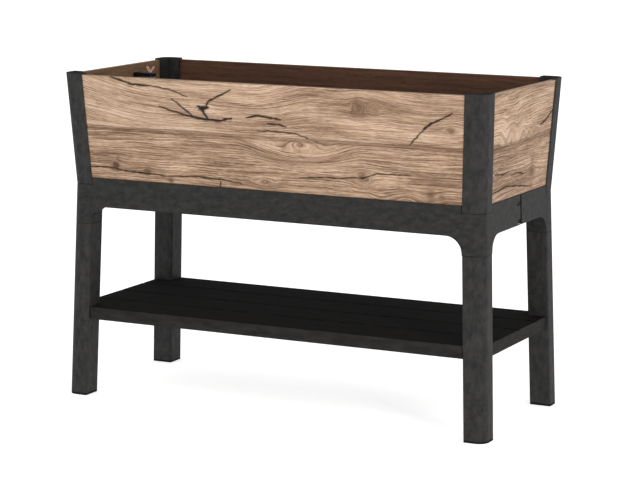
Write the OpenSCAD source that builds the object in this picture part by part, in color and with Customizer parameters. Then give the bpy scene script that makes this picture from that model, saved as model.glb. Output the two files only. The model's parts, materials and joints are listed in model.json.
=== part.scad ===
// Raised planter on four splayed legs: a wood-look box with corner posts, a two-part rail frame,
// a lower shelf, a water basin under the soil, a float gauge and a drain plug.
// Origin: floor level, under the middle of the box. +X runs along the length, +Z is up.

/* [Outline] */
// Overall height, to the top of the corner posts
total_h = 800; // [660:1:1000]
// Length at the waist, where the posts meet the frame
waist_len = 1083; // [900:1:1400]
// Width at the waist
waist_wid = 447; // [370:1:600]
// How far each foot stands out past the waist, along the length
foot_spread_x = 17.5; // [0:0.5:30]
// How far each foot stands out past the waist, along the width
foot_spread_y = 12.5; // [0:0.5:30]
// How far each post leans out past the waist, along the length
top_spread_x = 12.5; // [0:0.5:25]
// How far each post leans out past the waist, along the width
top_spread_y = 23.5; // [0:0.5:30]

/* [Heights] */
// Height of the joint between the legs and the frame
leg_joint_z = 430; // [380:1:450]
// Height of the underside of the rails
rail_bottom_z = 473; // [450:1:500]
// Height of the joint between the frame and the corner posts
post_joint_z = 527; // [505:1:535]
// Height of the top of the rails, where the walls stand
rail_top_z = 544; // [536:1:580]
// How far the walls stop below the tops of the posts
cap_t = 4; // [2:0.5:10]

/* [Columns] */
// Width of the square legs, frame corners and posts
column_w = 54; // [48:1:66]
// Radius of the outer corner of the columns
column_r = 25; // [12:0.5:30]
// Radius of the other corners of the columns
column_edge_r = 4; // [2:0.5:6]
// Wall of the hollow legs and frame corners
column_wall = 4; // [3:0.5:6]
// Length of the frame spigot inside each leg
spigot_h = 38; // [20:1:60]
// Wall of the spigots and foot plugs
spigot_wall = 3; // [2:0.5:5]
// Gap round a spigot or foot plug inside its leg
spigot_gap = 0.4; // [0.2:0.1:1]
// Thickness of the foot caps under the legs
foot_t = 5; // [3:0.5:12]
// Height of the foot plug inside the leg
foot_plug_h = 26; // [10:1:50]

/* [Frame] */
// Depth of the rails, outside to inside
rail_d = 30; // [24:1:40]
// Wall of the rails
rail_wall = 4; // [3:0.5:6]
// Height of the open slot along the inside of the rails
rail_slot_h = 7; // [4:1:20]
// How far the rail faces sit behind the corner faces
rail_inset = 0.4; // [0.2:0.1:2]
// Radius of the arch between rail and leg
arch_r = 42; // [20:1:43]
// Distance from the middle of the end rail to the joint between the frame halves
splice_y = 8; // [0:1:70]
// Width of the shadow gap at that joint
splice_gap = 8; // [1:0.5:10]
// Thickness of the tongue behind the joint
tongue_t = 3.5; // [2:0.5:6]
// Length of the tongue on each side of the joint
tongue_l = 34; // [20:1:45]
// Length of the hook pocket at the top of the joint
top_pocket_l = 22; // [10:1:45]
// Height of the hook pocket at the top of the joint
top_pocket_h = 8; // [4:0.5:12]
// Length of the hook pocket at the bottom of the joint
low_pocket_l = 15; // [6:1:30]
// Height of the hook pocket at the bottom of the joint
low_pocket_h = 13; // [6:1:25]

/* [Walls] */
// Thickness of the wall panels
wall_t = 12; // [9:0.5:14]
// How far the wall faces sit behind the post faces
wall_inset = 3.5; // [2.5:0.5:6]
// How far a wall runs into the groove of a post
wall_engage = 18; // [10:1:20]
// Gap round the wall in the post groove
groove_gap = 0.5; // [0.3:0.1:1]
// Thickness of the arms of the L-shaped posts
post_arm_t = 25; // [22:1:30]
// Depth of the groove between the planks
plank_groove_d = 2.5; // [1:0.5:4]
// Height of the mouth of the groove between the planks
plank_groove_h = 5; // [2:0.5:10]

/* [Basin and soil platforms] */
// Depth of the water basin below its lip
basin_depth = 46; // [30:1:52]
// Wall of the basin
basin_wall = 3; // [2:0.5:5]
// Gap between the basin and what it hangs in
basin_gap = 1; // [0.5:0.1:3]
// Wall of the soil platforms
platform_t = 3; // [2:0.5:5]
// Outer diameter of the wicking cups
cup_d = 70; // [40:1:100]
// Distance between the three cups of a platform
cup_pitch = 150; // [110:1:165]
// Length of the drain slots in the platforms
slot_l = 60; // [20:1:80]
// Width of the drain slots in the platforms
slot_w = 5; // [3:0.5:8]
// Distance between rows of drain slots
slot_pitch = 26; // [14:1:30]

/* [Cross beams] */
// Distance from the middle beam to the outer beams
beam_pitch = 330; // [200:1:380]
// Width of the beams under the basin
beam_w = 50; // [30:1:70]
// Height of the beams
beam_h = 20; // [18:1:26]
// Wall of the beams
beam_wall = 3; // [2:0.5:5]
// Gap at each end of a beam
beam_gap = 0.2; // [0.1:0.1:1]

/* [Shelf] */
// How far the ends of the shelf sit behind the outer faces of the legs
shelf_end_inset = 7; // [2:0.5:15]
// How far the front and back of the shelf sit behind the outer faces of the legs
shelf_side_inset = 5.5; // [2:0.5:15]
// Height of the top of the shelf
shelf_z = 223; // [120:1:330]
// Thickness of the shelf over its rim
shelf_h = 31; // [22:1:45]
// Wall of the shelf
shelf_wall = 4; // [3:0.5:6]
// Gap between the shelf and the legs
shelf_gap = 0.6; // [0.3:0.1:3]
// Number of boards marked on the shelf
shelf_boards = 4; // [2:1:8]
// Width of the grooves between the boards
shelf_groove_w = 6; // [3:0.5:10]
// Depth of the grooves between the boards
shelf_groove_d = 2; // [1:0.5:3]
// Number of cross ribs under the shelf
shelf_ribs = 7; // [3:1:15]

/* [Drain plug] */
// Diameter of the drain hole
drain_d = 24; // [16:0.5:40]
// Gap round the plug in the drain hole
drain_gap = 0.3; // [0.1:0.1:0.6]
// Diameter of the head of the plug
plug_head_d = 36; // [30:1:60]
// Thickness of the head of the plug
plug_head_t = 4; // [3:0.5:8]
// Height of the grip bar under the head of the plug
plug_grip_h = 9; // [6:0.5:15]
// Thickness of the grip bar
plug_grip_t = 5; // [3:0.5:8]
// How far the plug stands above the basin floor
plug_rise = 5; // [2:0.5:10]

/* [Float gauge] */
// Gap between the gauge tube and the basin and platform beside it
tube_gap = 1.5; // [1:0.5:4]
// Distance of the gauge behind the middle of the box
gauge_y = 70; // [60:1:110]
// Outer diameter of the gauge tube
tube_d = 24; // [20:0.5:26]
// Wall of the gauge tube
tube_wall = 2; // [1:0.5:3]
// Width of the slots that let water into the tube
tube_slot_w = 5; // [2:0.5:8]
// How much wider than the tube its cap is
tube_cap_rim = 4; // [2:0.5:6]
// Gap round the float in its tube
float_gap = 1; // [0.5:0.1:2]
// Height of the float
float_h = 26; // [15:1:35]
// Diameter of the stem of the float
stem_d = 4; // [3:0.5:6]
// Gap round the stem in the bracket
stem_gap = 0.5; // [0.3:0.1:1]
// Height of the top of the gauge bracket below the tops of the walls
bracket_drop = 21; // [16:1:80]
// Thickness of the gauge bracket
bracket_t = 9; // [6:0.5:16]
// Width of the gauge bracket
bracket_w = 24; // [22:1:40]
// Height of the V-shaped flag on the stem
flag_h = 15; // [10:1:30]
// Half angle between the two blades of the flag
flag_a = 35; // [20:1:45]
// Width of the blades of the flag
flag_blade_w = 5; // [3:0.5:8]
// Thickness of the blades of the flag
flag_t = 3; // [2:0.5:4]
// Height of the hub of the flag
flag_hub_h = 4; // [3:0.5:8]

/* [Screws] */
// Shank diameter of the screws
screw_d = 4.5; // [3:0.5:5.5]
// Head diameter of the screws
screw_head_d = 9; // [7:0.5:11]
// Head height of the screws
screw_head_h = 3; // [2:0.5:4]
// Gap round the shanks in their holes
screw_gap = 0.15; // [0.1:0.05:0.3]
// How deep a post screw bites into the post
post_screw_bite = 26; // [10:1:40]
// How deep a shelf screw bites into the leg, past its wall
shelf_screw_bite = 5; // [1:0.5:10]
// How deep a beam screw bites past the wall of the rail
beam_screw_bite = 3; // [1:0.5:8]
// Distance of a post screw from the farther outer face of the post
post_screw_far = 28; // [26:0.5:30]
// Distance of a post screw from the nearer outer face of the post
post_screw_near = 11; // [10:0.5:13]
// Distance between the two screws at a frame joint
splice_screw_pitch = 28; // [16:1:36]
// Distance between the two screws at the end of a beam
beam_screw_pitch = 24; // [14:1:36]
// Distance of the beam screws below the basin
beam_screw_drop = 9.5; // [8.5:0.5:12]

/* [Hidden] */

$fn = 64;
resin = "#3a3a3c";
rubber_black = "#161616";
timber = "#b9936b";
steel = "#b4b6b8";
far = 2000;         // longer than anything it cuts
eps = 0.01;

wall_top_z = total_h - cap_t;
plank_joint_z = (rail_top_z + wall_top_z) / 2;      // two planks of equal height
waist_hx = waist_len / 2;
waist_hy = waist_wid / 2;

// Splay per millimetre of height: the legs open downwards, the posts open upwards.
leg_sx = foot_spread_x / post_joint_z;
leg_sy = foot_spread_y / post_joint_z;
post_sx = top_spread_x / (wall_top_z - post_joint_z);
post_sy = top_spread_y / (wall_top_z - post_joint_z);

// Half length and half width over the legs and frame, and over the posts, at height z.
function leg_hx(z) = waist_hx + (post_joint_z - z) * leg_sx;
function leg_hy(z) = waist_hy + (post_joint_z - z) * leg_sy;
function post_hx(z) = waist_hx + (z - post_joint_z) * post_sx;
function post_hy(z) = waist_hy + (z - post_joint_z) * post_sy;
// The same over the outer faces of the rails
function rail_face_x(z) = leg_hx(z) - rail_inset;
function rail_face_y(z) = leg_hy(z) - rail_inset;

// Corners: [x side, y side]
FRONT_LEFT = [-1, -1];
FRONT_RIGHT = [1, -1];
REAR_LEFT = [-1, 1];
REAR_RIGHT = [1, 1];
CORNERS = [FRONT_LEFT, FRONT_RIGHT, REAR_LEFT, REAR_RIGHT];

wall_depth = wall_inset + wall_t;
groove_len = wall_engage + 2;
stub_inner_x = waist_hx - column_w;
stub_inner_y = waist_hy - column_w;
rail_inner_x = leg_hx(rail_top_z) - rail_d;
rail_inner_y = leg_hy(rail_top_z) - rail_d;
rail_end_x = leg_hx((leg_joint_z + post_joint_z) / 2) - column_w + column_wall / 2;
rail_end_y = leg_hy((leg_joint_z + post_joint_z) / 2) - column_w + column_wall / 2;

basin_lip_z = rail_top_z + basin_wall;
basin_bottom_z = basin_lip_z - basin_depth - basin_wall;
basin_floor_z = basin_bottom_z + basin_wall;
basin_hx = rail_inner_x - basin_gap;
basin_hy = rail_inner_y - basin_gap;
basin_notch_x = stub_inner_x - basin_gap;
basin_notch_y = stub_inner_y - basin_gap;
platform_z = basin_lip_z - platform_t;

shelf_notch_x = leg_hx(shelf_z) - column_w - shelf_gap;
shelf_notch_y = leg_hy(shelf_z) - column_w - shelf_gap;

shelf_len = 2 * (leg_hx(shelf_z) - shelf_end_inset);
shelf_wid = 2 * (leg_hy(shelf_z) - shelf_side_inset);

post_notch_gap = 0.3;           // between a post and the ends of the rails beside it
platform_gap = 0.5;             // between the platforms, and between them and the basin
bracket_gap = 0.3;              // between the gauge bracket and the left wall
flag_gap = 1;                   // between the bracket and the flag when the float is down
platform_outer_x = basin_notch_x - basin_wall - platform_gap;
platform_mid_x = (platform_gap + platform_outer_x) / 2;
drain_x = platform_mid_x - cup_pitch / 2;       // between two of the cups

gauge_x = -(basin_hx - basin_wall - tube_gap - tube_d / 2);
bracket_z = wall_top_z - bracket_drop;
float_d = tube_d - 2 * (tube_wall + float_gap);
float_z = basin_floor_z + float_gap;
flag_z = bracket_z + flag_gap;
beam_xs = [-beam_pitch, 0, beam_pitch];
beam_half = rail_inner_y - beam_gap;
post_screw_z = post_joint_z - column_wall;
post_screw_l = column_wall + post_screw_bite;
shelf_screw_l = shelf_wall + shelf_gap + column_wall + shelf_screw_bite;
beam_screw_l = beam_wall + beam_gap + rail_wall + beam_screw_bite;
splice_screw_l = tongue_t + rail_inset + rail_wall / 2;

// ---------- helpers ----------

// Puts a part drawn for the rear right corner at corner c.
module at_corner(c) {
    if (c.x < 0) mirror([1, 0, 0]) at_side(c.y) children();
    else at_side(c.y) children();
}

module at_side(side) {
    if (side < 0) mirror([0, 1, 0]) children();
    else children();
}

module slab(z0, z1) {
    translate([-far / 2, -far / 2, z0]) cube([far, far, z1 - z0]);
}

// A box between two opposite corners
module span(a, b) {
    translate(a) cube(b - a);
}

// A square with one big outer corner at the origin and three small ones, shrunk by inset on every side
module column_outline(inset) {
    w = column_w - 2 * inset;
    r = column_r - inset;
    e = max(column_edge_r - inset, 1);
    translate([-column_w + inset, -column_w + inset]) {
        difference() {
            square(w);
            square(e);
            translate([w - e, 0]) square(e);
            translate([0, w - e]) square(e);
            translate([w - r, w - r]) square(r);
        }
        translate([e, e]) circle(e);
        translate([w - e, e]) circle(e);
        translate([e, w - e]) circle(e);
        translate([w - r, w - r]) circle(r);
    }
}

// An upright profile leaned to follow the legs, between two heights
module leg_column(z0, z1) {
    intersection() {
        translate([waist_hx, waist_hy, post_joint_z])
            rotate([atan(leg_sy * cos(atan(leg_sx))), -atan(leg_sx), 0])
                translate([0, 0, -total_h]) linear_extrude(2 * total_h) children();
        slab(z0, z1);
    }
}

// The same for the posts, which lean the other way
module post_column(z0, z1) {
    intersection() {
        translate([waist_hx, waist_hy, post_joint_z])
            rotate([-atan(post_sy * cos(atan(post_sx))), atan(post_sx), 0])
                translate([0, 0, -total_h]) linear_extrude(2 * total_h) children();
        slab(z0, z1);
    }
}

// Outline in Y and Z, drawn along X
module along_x(x0, x1) {
    translate([x0, 0, 0]) rotate([90, 0, 90]) linear_extrude(x1 - x0) children();
}

// Outline in X and Z, drawn along Y
module along_y(y0, y1) {
    translate([0, y1, 0]) rotate([90, 0, 0]) linear_extrude(y1 - y0) children();
}

// A screw with its head's underside at the origin and its shank along +Z
module screw(shank_l) {
    translate([0, 0, -screw_head_h]) cylinder(h = screw_head_h, d = screw_head_d);
    translate([0, 0, -eps]) cylinder(h = shank_l, d = screw_d);
}

module screw_hole(shank_l) {
    translate([0, 0, -eps]) cylinder(h = shank_l + 1, d = screw_d + 2 * screw_gap);
}

// ---------- where the screws go ----------

module post_screw_places(c) {
    for (p = [[post_screw_far, post_screw_near], [post_screw_near, post_screw_far]])
        at_corner(c) translate([waist_hx - p.x, waist_hy - p.y, post_screw_z]) children();
}

// Two screws through the tongue of one frame half into the other half, from the inside
module splice_screw_places() {
    for (s = [-1, 1]) {
        z = (rail_bottom_z + rail_top_z) / 2 + s * splice_screw_pitch / 2;
        x = rail_face_x(z + screw_head_d / 2) - rail_wall - rail_inset - tongue_t;
        translate([x, splice_y + tongue_l / 2, z]) rotate([0, 90, 0]) children();
    }
}

module beam_screw_places(x) {
    for (side = [-1, 1], s = [-1, 1]) at_side(side)
        translate([x + s * beam_screw_pitch / 2, beam_half - beam_wall,
            basin_bottom_z - beam_screw_drop]) rotate([-90, 0, 0]) children();
}

module shelf_screw_places(c) {
    z = shelf_z - shelf_h / 2;
    at_corner(c) {
        translate([shelf_notch_x - shelf_wall, (shelf_notch_y + shelf_wid / 2) / 2, z])
            rotate([0, 90, 0]) children();
        translate([(shelf_notch_x + shelf_len / 2) / 2, shelf_notch_y - shelf_wall, z])
            rotate([-90, 0, 0]) children();
    }
}

// ---------- legs and feet ----------

module leg(c) {
    color(resin) difference() {
        at_corner(c) difference() {
            leg_column(foot_t, leg_joint_z) column_outline(0);
            leg_column(foot_t - 1, leg_joint_z + 1) column_outline(column_wall);
        }
        shelf_screw_places(c) screw_hole(shelf_screw_l);
    }
}

module foot_cap(c) {
    plug = column_wall + spigot_gap;
    color(rubber_black) at_corner(c) {
        leg_column(0, foot_t) column_outline(0);
        difference() {
            leg_column(foot_t - eps, foot_t + foot_plug_h) column_outline(plug);
            leg_column(foot_t, far) column_outline(plug + spigot_wall);
        }
    }
}

// ---------- frame ----------

// Section of a rail: an upside-down trough with a floor and a slot along the inside.
// face0, face1, face2 and face3 are the outer face at the bottom, floor, roof and top.
module rail_section(inner, face0, face1, face2, face3) {
    floor_z = rail_bottom_z + rail_wall;
    roof_z = rail_top_z - rail_wall;
    polygon([
        [inner, rail_bottom_z], [face0, rail_bottom_z], [face3, rail_top_z], [inner, rail_top_z],
        [inner, floor_z + rail_slot_h], [inner + rail_wall, floor_z + rail_slot_h],
        [inner + rail_wall, roof_z], [face2 - rail_wall, roof_z],
        [face1 - rail_wall, floor_z], [inner, floor_z]
    ]);
}

module end_rail_section() {
    rail_section(rail_inner_x, rail_face_x(rail_bottom_z), rail_face_x(rail_bottom_z + rail_wall),
        rail_face_x(rail_top_z - rail_wall), rail_face_x(rail_top_z));
}

module side_rail_section() {
    rail_section(rail_inner_y, rail_face_y(rail_bottom_z), rail_face_y(rail_bottom_z + rail_wall),
        rail_face_y(rail_top_z - rail_wall), rail_face_y(rail_top_z));
}

// The curved web under a rail where it meets a frame corner, drawn for the rear right corner
module side_arch() {
    arch_x = leg_hx(leg_joint_z) - column_w - arch_r;
    z0 = leg_joint_z - 1;
    z1 = rail_bottom_z + 2;
    intersection() {
        difference() {
            span([arch_x, 0, leg_joint_z], [rail_end_x, waist_wid, rail_bottom_z + 1]);
            translate([arch_x, 0, rail_bottom_z - arch_r])
                rotate([-90, 0, 0]) cylinder(h = far, r = arch_r);
            span([arch_x - 1, -1, 0], [arch_x + arch_r, waist_wid + 1, rail_bottom_z - arch_r]);
        }
        along_x(0, far) polygon([
            [rail_inner_y, z0], [rail_face_y(z0), z0], [rail_face_y(z1), z1], [rail_inner_y, z1]
        ]);
    }
}

module end_arch() {
    arch_y = leg_hy(leg_joint_z) - column_w - arch_r;
    z0 = leg_joint_z - 1;
    z1 = rail_bottom_z + 2;
    intersection() {
        difference() {
            span([0, arch_y, leg_joint_z], [waist_len, rail_end_y, rail_bottom_z + 1]);
            translate([0, arch_y, rail_bottom_z - arch_r])
                rotate([0, 90, 0]) cylinder(h = far, r = arch_r);
            span([-1, arch_y - 1, 0], [waist_len + 1, arch_y + arch_r, rail_bottom_z - arch_r]);
        }
        along_y(0, far) polygon([
            [rail_inner_x, z0], [rail_face_x(z0), z0], [rail_face_x(z1), z1], [rail_inner_x, z1]
        ]);
    }
}

// Hollow corner of the frame with the spigot that the leg takes, open from below
module frame_corner() {
    plug = column_wall + spigot_gap;
    difference() {
        union() {
            leg_column(leg_joint_z, post_joint_z) column_outline(0);
            leg_column(leg_joint_z - spigot_h, leg_joint_z + 1) column_outline(plug);
        }
        leg_column(leg_joint_z + column_wall, post_joint_z - column_wall)
            column_outline(column_wall);
        leg_column(0, leg_joint_z + column_wall + 1) column_outline(plug + spigot_wall);
    }
}

// Space that the posts take above the frame corners
module post_notch() {
    x = stub_inner_x - post_notch_gap;
    y = stub_inner_y - post_notch_gap;
    span([x, y, post_joint_z], [far, far, far]);
}

// Tongue behind the joint: part of one half, lying against the inside of the other
module splice_tongue() {
    low = rail_bottom_z + rail_wall + 1;
    high = rail_top_z - rail_wall - 1;
    gap = rail_wall + rail_inset;
    along_y(splice_y - tongue_l, splice_y + tongue_l) polygon([
        [rail_face_x(low) - gap - tongue_t, low], [rail_face_x(low) - gap, low],
        [rail_face_x(high) - gap, high], [rail_face_x(high) - gap - tongue_t, high]
    ]);
    // block that joins the tongue to its own half, between the pockets
    block_low = rail_bottom_z + low_pocket_h + 3;
    block_high = post_joint_z - top_pocket_h - 1;
    along_y(splice_y - tongue_l, splice_y - splice_gap) polygon([
        [rail_face_x(block_low) - gap - 1, block_low],
        [rail_face_x(block_low) - rail_wall + 1, block_low],
        [rail_face_x(block_high) - rail_wall + 1, block_high],
        [rail_face_x(block_high) - gap - 1, block_high]
    ]);
}

// The pockets at the joint, through the outer wall of the rail
module splice_pockets() {
    x0 = rail_face_x(rail_top_z) - rail_wall;
    low_end = splice_y - splice_gap / 2;
    top_z = post_joint_z + 1;
    span([x0, low_end - top_pocket_l, top_z - top_pocket_h], [far, low_end + 1, top_z]);
    span([x0, low_end - low_pocket_l, rail_bottom_z + 1],
        [far, low_end + 1, rail_bottom_z + 1 + low_pocket_h]);
}

// One half of the frame: a side rail, two corners, and a long and a short end arm.
// The other half is the same part turned half round.
module frame_half() {
    gap_half = splice_gap / 2;
    color(resin) difference() {
        union() {
            for (c = [FRONT_LEFT, FRONT_RIGHT]) at_corner(c) {
                frame_corner();
                side_arch();
                end_arch();
            }
            difference() {
                union() {
                    at_side(-1) along_x(-rail_end_x, rail_end_x) side_rail_section();
                    along_y(-rail_end_y, splice_y - gap_half) end_rail_section();
                    mirror([1, 0, 0])
                        along_y(-rail_end_y, -splice_y - gap_half) end_rail_section();
                }
                for (c = [FRONT_LEFT, FRONT_RIGHT]) at_corner(c) {
                    post_notch();
                    leg_column(leg_joint_z + column_wall, post_joint_z - column_wall)
                        column_outline(column_wall);
                }
                splice_pockets();
            }
            splice_tongue();
        }
        splice_screw_places() screw_hole(splice_screw_l);
        rotate([0, 0, 180]) splice_screw_places() screw_hole(splice_screw_l);
        for (c = [FRONT_LEFT, FRONT_RIGHT]) post_screw_places(c) screw_hole(post_screw_l);
        for (x = beam_xs) beam_screw_places(x) screw_hole(beam_screw_l);
    }
}

// ---------- posts and walls ----------

module post_outline() {
    difference() {
        column_outline(0);
        translate([-column_w - 1, -column_w - 1]) square(column_w + 1 - post_arm_t);
    }
}

module post_grooves() {
    low = wall_inset - groove_gap;
    h = wall_t + 2 * groove_gap;
    translate([-column_w - 1, -low - h]) square([groove_len + 1, h]);
    translate([-low - h, -column_w - 1]) square([h, groove_len + 1]);
}

module corner_post(c) {
    color(resin) difference() {
        at_corner(c) difference() {
            post_column(post_joint_z, total_h) post_outline();
            post_column(rail_top_z - 1, wall_top_z) post_grooves();
        }
        post_screw_places(c) screw_hole(post_screw_l);
    }
}

// Section of a wall: it leans with the posts and has a groove between its two planks
module wall_section(face_bottom, slope) {
    g = plank_groove_h / 2;
    function face(z) = face_bottom + (z - rail_top_z) * slope;
    polygon([
        [face(rail_top_z) - wall_t, rail_top_z], [face(rail_top_z), rail_top_z],
        [face(plank_joint_z - g), plank_joint_z - g],
        [face(plank_joint_z) - plank_groove_d, plank_joint_z],
        [face(plank_joint_z + g), plank_joint_z + g],
        [face(wall_top_z), wall_top_z], [face(wall_top_z) - wall_t, wall_top_z]
    ]);
}

module side_wall() {
    function end(z) = post_hx(z) - column_w + wall_engage;
    color(timber) intersection() {
        along_x(-far / 2, far / 2)
            wall_section(post_hy(rail_top_z) - wall_inset, post_sy);
        along_y(0, far) polygon([
            [-end(rail_top_z), rail_top_z], [end(rail_top_z), rail_top_z],
            [end(wall_top_z), wall_top_z], [-end(wall_top_z), wall_top_z]
        ]);
    }
}

module end_wall() {
    function end(z) = post_hy(z) - column_w + wall_engage;
    color(timber) intersection() {
        along_y(-far / 2, far / 2)
            wall_section(post_hx(rail_top_z) - wall_inset, post_sx);
        along_x(0, far) polygon([
            [-end(rail_top_z), rail_top_z], [end(rail_top_z), rail_top_z],
            [end(wall_top_z), wall_top_z], [-end(wall_top_z), wall_top_z]
        ]);
    }
}

// ---------- basin, platforms and beams ----------

// Plan of the basin: a rectangle with its corners notched round the frame corners
module basin_plan(inset) {
    square([2 * (basin_notch_x - inset), 2 * (basin_hy - inset)], center = true);
    square([2 * (basin_hx - inset), 2 * (basin_notch_y - inset)], center = true);
}

// Plan of the lip, which lies on the rails inside the walls and clears the posts
module basin_lip_plan() {
    hx = post_hx(rail_top_z) - wall_depth - basin_gap;
    hy = post_hy(rail_top_z) - wall_depth - basin_gap;
    arm = post_arm_t + basin_gap;
    difference() {
        square([2 * hx, 2 * hy], center = true);
        for (c = CORNERS) {
            translate([c.x * post_hx(post_joint_z), c.y * post_hy(post_joint_z)]) {
                square([2 * arm, 2 * (column_w + basin_gap)], center = true);
                square([2 * (column_w + basin_gap), 2 * arm], center = true);
            }
        }
    }
}

module water_basin() {
    color("#242426") difference() {
        union() {
            translate([0, 0, basin_bottom_z])
                linear_extrude(basin_depth + basin_wall) basin_plan(0);
            translate([0, 0, rail_top_z]) linear_extrude(basin_wall) basin_lip_plan();
        }
        translate([0, 0, basin_floor_z]) linear_extrude(basin_depth + 1) basin_plan(basin_wall);
        translate([drain_x, 0, basin_bottom_z - 1]) cylinder(h = basin_wall + 2, d = drain_d);
    }
}

// A perforated plate with wicking cups that stand on the basin floor; side is -1 left, 1 right
module soil_platform(side) {
    hy = basin_hy - basin_wall - platform_gap;
    cup_xs = [for (i = [-1, 0, 1]) side * (platform_mid_x + i * cup_pitch)];
    rows = floor((hy - cup_d / 2 - slot_w) / slot_pitch);
    color("#2e2e31") difference() {
        union() {
            translate([side < 0 ? -platform_outer_x : platform_gap, -hy, platform_z])
                cube([platform_outer_x - platform_gap, 2 * hy, platform_t]);
            for (x = cup_xs) translate([x, 0, basin_floor_z])
                cylinder(h = platform_z - basin_floor_z + eps, d = cup_d);
        }
        for (x = cup_xs) translate([x, 0, basin_floor_z + platform_t])
            cylinder(h = basin_depth, d = cup_d - 2 * platform_t);
        for (x = cup_xs, k = [1 : rows], s = [-1, 1])
            translate([x - slot_l / 2, s * (cup_d / 2 + (k - 0.5) * slot_pitch) - slot_w / 2,
                platform_z - 1]) cube([slot_l, slot_w, platform_t + 2]);
        translate([gauge_x, gauge_y, basin_floor_z])
            cylinder(h = far, d = tube_d + 2 * tube_gap);
    }
}

// An inverted channel under the basin with a flange at each end, screwed to the rails
module cross_beam(x) {
    low = basin_bottom_z - beam_h;
    color(resin) difference() {
        span([x - beam_w / 2, -beam_half, low], [x + beam_w / 2, beam_half, basin_bottom_z]);
        span([x - beam_w / 2 + beam_wall, -beam_half + beam_wall, low - 1],
            [x + beam_w / 2 - beam_wall, beam_half - beam_wall, basin_bottom_z - beam_wall]);
        beam_screw_places(x) screw_hole(beam_screw_l);
    }
}

// ---------- shelf ----------

module shelf_plan(inset) {
    square([shelf_len - 2 * inset, 2 * (shelf_notch_y - inset)], center = true);
    square([2 * (shelf_notch_x - inset), shelf_wid - 2 * inset], center = true);
}

module shelf() {
    board = shelf_wid / shelf_boards;
    rib_pitch = 2 * shelf_notch_x / (shelf_ribs + 1);
    bottom = shelf_z - shelf_h;
    color("#303032") difference() {
        union() {
            difference() {
                translate([0, 0, bottom]) linear_extrude(shelf_h) shelf_plan(0);
                translate([0, 0, bottom - 1])
                    linear_extrude(shelf_h - shelf_wall + 1) shelf_plan(shelf_wall);
            }
            for (i = [1 : shelf_ribs])
                translate([-shelf_notch_x + i * rib_pitch - shelf_wall / 2,
                    -shelf_wid / 2 + 1, bottom + shelf_h / 3])
                    cube([shelf_wall, shelf_wid - 2, shelf_h * 2 / 3 - shelf_wall + 1]);
            for (i = [1 : shelf_boards - 1])
                translate([-shelf_len / 2 + 1, -shelf_wid / 2 + i * board - shelf_groove_w,
                    bottom + shelf_h / 3])
                    cube([shelf_len - 2, 2 * shelf_groove_w, shelf_h * 2 / 3 - shelf_wall + 1]);
        }
        for (i = [1 : shelf_boards - 1])
            translate([-shelf_len / 2 - 1,
                -shelf_wid / 2 + i * board - shelf_groove_w / 2, shelf_z - shelf_groove_d])
                cube([shelf_len + 2, shelf_groove_w, shelf_groove_d + 1]);
        for (c = CORNERS) shelf_screw_places(c) screw_hole(shelf_screw_l);
    }
}

// ---------- drain plug and float gauge ----------

module drain_plug() {
    shank_d = drain_d - 2 * drain_gap;
    color(rubber_black) translate([drain_x, 0, basin_bottom_z - drain_gap]) {
        translate([0, 0, -plug_head_t]) cylinder(h = plug_head_t, d = plug_head_d);
        translate([0, 0, -eps]) cylinder(h = basin_wall + plug_rise, d = shank_d);
        // grip bar under the head
        translate([-plug_head_d * 0.4, -plug_grip_t / 2, -plug_head_t - plug_grip_h])
            cube([plug_head_d * 0.8, plug_grip_t, plug_grip_h + eps]);
    }
}

module gauge_tube() {
    color("#8c8f90") translate([gauge_x, gauge_y, basin_floor_z]) difference() {
        cylinder(h = bracket_z - bracket_t - basin_floor_z, d = tube_d);
        translate([0, 0, -1]) cylinder(h = far, d = tube_d - 2 * tube_wall);
        // slots that let the water in
        for (a = [0, 90]) rotate([0, 0, a])
            translate([-tube_d, -tube_slot_w / 2, -1])
                cube([2 * tube_d, tube_slot_w, float_h * 0.6]);
    }
}

// Cap of the tube, with an arm that reaches the inside of the left wall
module gauge_bracket() {
    wall_x = -(post_hx(bracket_z - bracket_t) - wall_depth) + bracket_gap;
    color("#1c1c1e") difference() {
        union() {
            span([wall_x, gauge_y - bracket_w / 2, bracket_z - bracket_t],
                [gauge_x, gauge_y + bracket_w / 2, bracket_z]);
            translate([gauge_x, gauge_y, bracket_z - bracket_t])
                cylinder(h = bracket_t, d = tube_d + tube_cap_rim);
        }
        translate([gauge_x, gauge_y, 0]) cylinder(h = far, d = stem_d + 2 * stem_gap);
    }
}

module gauge_float() {
    color("#d8d4c8") translate([gauge_x, gauge_y, float_z]) {
        cylinder(h = float_h, d = float_d);
        translate([0, 0, float_h - eps]) cylinder(h = flag_z - float_z - float_h + eps, d = stem_d);
    }
}

// Two blades in a V on top of the stem
module gauge_flag() {
    blade_l = flag_h / cos(flag_a);
    color("#d9a99b") translate([gauge_x, gauge_y, flag_z]) {
        cylinder(h = flag_hub_h, d = stem_d + flag_t);
        intersection() {
            for (a = [-flag_a, flag_a]) rotate([0, a, 0])
                translate([-flag_blade_w / 2, -flag_t / 2, 0])
                    cube([flag_blade_w, flag_t, blade_l]);
            slab(0, flag_h);
        }
    }
}

// ---------- screws ----------

module post_screws() {
    color(steel) for (c = CORNERS) post_screw_places(c) screw(post_screw_l);
}

module splice_screws() {
    color(steel) for (a = [0, 180]) rotate([0, 0, a]) splice_screw_places() screw(splice_screw_l);
}

module beam_screws() {
    color(steel) for (x = beam_xs) beam_screw_places(x) screw(beam_screw_l);
}

module shelf_screws() {
    color(steel) for (c = CORNERS) shelf_screw_places(c) screw(shelf_screw_l);
}

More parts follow.
